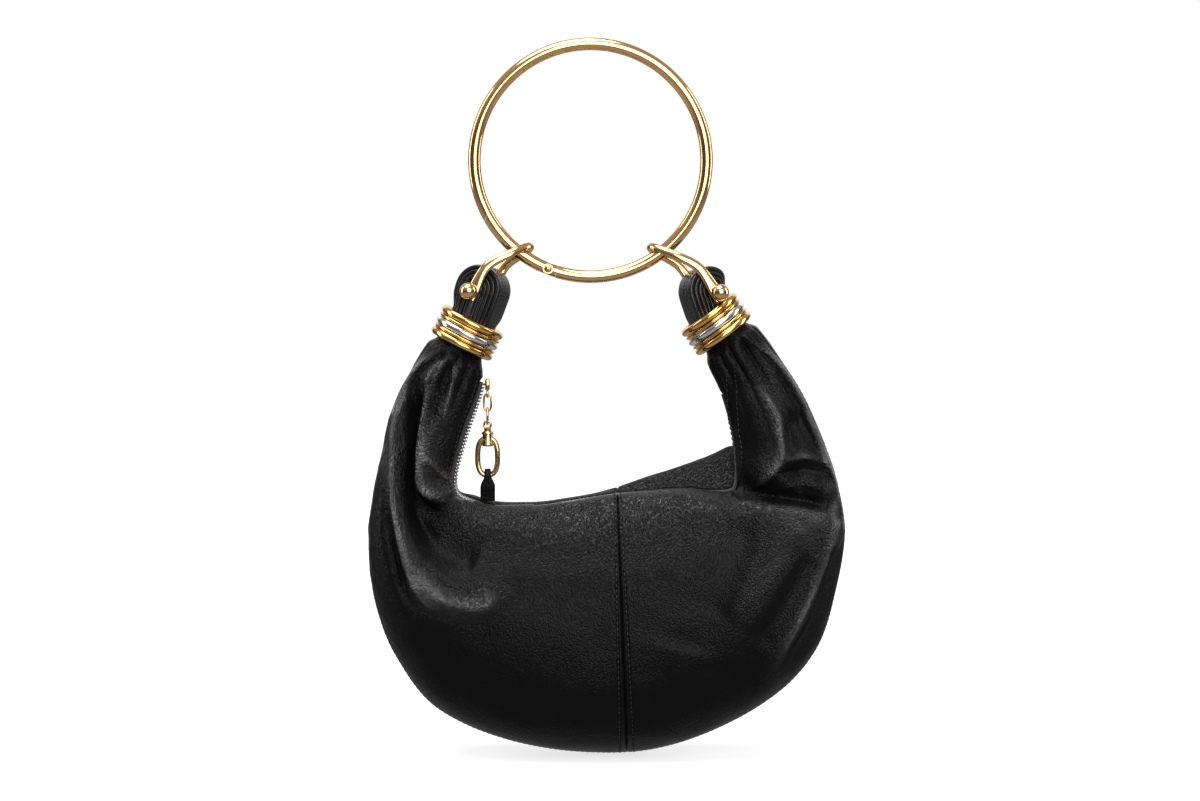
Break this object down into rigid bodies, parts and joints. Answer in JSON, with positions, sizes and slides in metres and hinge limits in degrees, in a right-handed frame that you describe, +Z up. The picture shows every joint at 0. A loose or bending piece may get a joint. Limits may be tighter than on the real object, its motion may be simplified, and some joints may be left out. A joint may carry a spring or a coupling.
{
  "type": "shoulder bag",
  "caption": "Soft crescent leather shoulder bag whose necks pass through stacked metal rings and hang by shackles from a large ring handle.",
  "frame": {"origin": "inside of the ring handle at its top, where a hand or a hook carries the bag", "axes": "+Z up, -Y to the bag's front, +X to the right seen from the front"},
  "size_m": [0.286, 0.0958, 0.4291],
  "materials": {
    "leather": "semi-gloss, fine grain",
    "leather_edge": "painted edges, satin",
    "gold": "polished pale gold plate",
    "yellow_gold": "polished yellow gold plate",
    "silver": "polished",
    "zip": "woven tape with metal teeth"
  },
  "bodies": {
    "handle": {"handle_ring": "gold", "handle_gate": "gold", "gate_rivet": "gold"},
    "bag": {"shackle_left": "gold", "shackle_right": "gold", "shackle_pin_left": "gold", "shackle_pin_right": "gold", "neck_left_ring_1": "yellow_gold", "neck_left_ring_2": "yellow_gold", "neck_left_ring_3": "silver", "neck_left_ring_4": "yellow_gold", "neck_left_ring_5": "yellow_gold", "neck_right_ring_1": "yellow_gold", "neck_right_ring_2": "yellow_gold", "neck_right_ring_3": "silver", "neck_right_ring_4": "yellow_gold", "neck_right_ring_5": "yellow_gold", "loop_left": "leather_edge", "loop_right": "leather_edge", "panel_front_left": "leather", "panel_front_right": "leather", "panel_back_left": "leather", "panel_back_right": "leather", "zip_chain": "zip", "zip_slider": "gold", "pull_link_upper": "gold", "pull_link_lower": "gold", "pull_clasp": "gold", "pull_strap": "leather"}
  },
  "joints": [
    {"name": "bag_swing", "type": "hinge", "parent": "handle", "child": "bag", "pos_m": [0, 0, -0.12011], "axis": [1, 0, 0], "range_deg": [-35, 35]}
  ]
}
